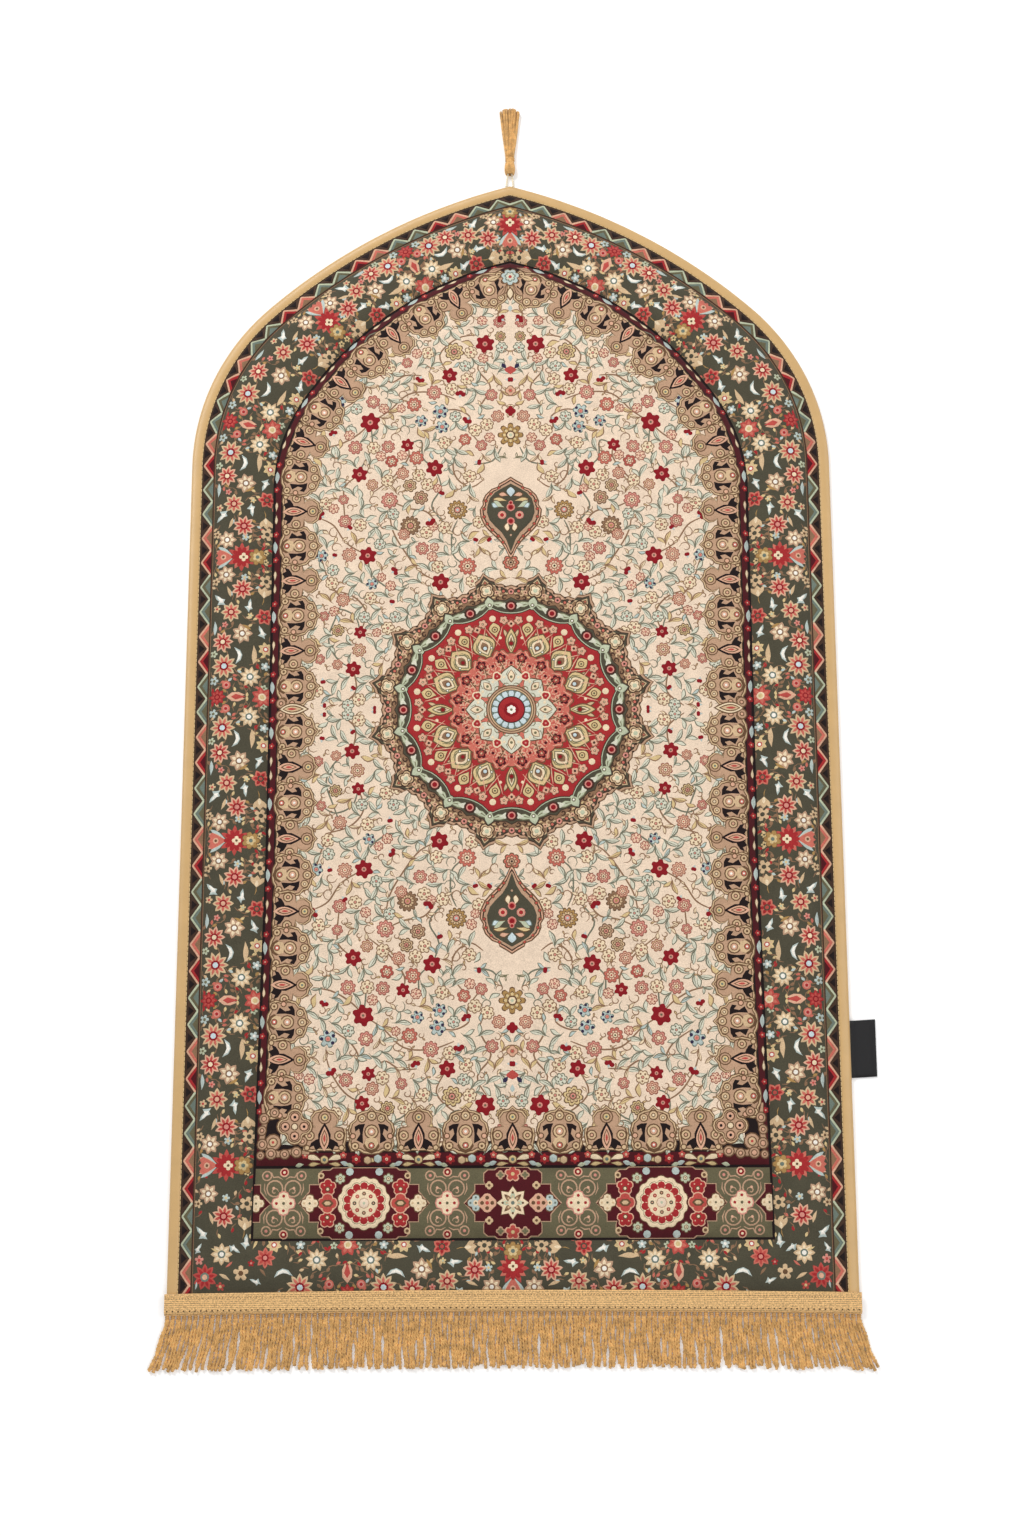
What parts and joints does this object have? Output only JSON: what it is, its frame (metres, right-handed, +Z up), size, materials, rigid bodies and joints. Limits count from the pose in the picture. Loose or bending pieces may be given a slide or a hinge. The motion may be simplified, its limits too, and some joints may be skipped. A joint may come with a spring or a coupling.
{
  "type": "prayer rug",
  "caption": "Padded prayer rug with an arched top, satin edge binding, floral borders, fringed foot, corded tassel at the point and a bare side label.",
  "frame": {"origin": "on the floor plane under the middle of the whole outline, from the fringe's tips to the tassel's tip", "axes": "+Y towards the point of the arch and the tassel, +X to the side that has the label, +Z up out of the patterned face"},
  "size_m": [0.7435, 1.3901, 0.0155],
  "materials": {
    "rug_cloth": "short velvet pile with a woven oriental pattern in ivory, olive, red, pink and light blue",
    "gold_satin": "satin bias tape",
    "gold_yarn": "twisted rayon yarn, soft sheen",
    "cream_cord": "twisted cord",
    "black_ribbon": "woven ribbon, bare"
  },
  "bodies": {
    "root": {"rug_pad": "rug_cloth", "edge_binding": "gold_satin", "fringe": "gold_yarn", "tassel": "gold_yarn", "tassel_loop": "cream_cord", "side_label": "black_ribbon"}
  },
  "joints": []
}
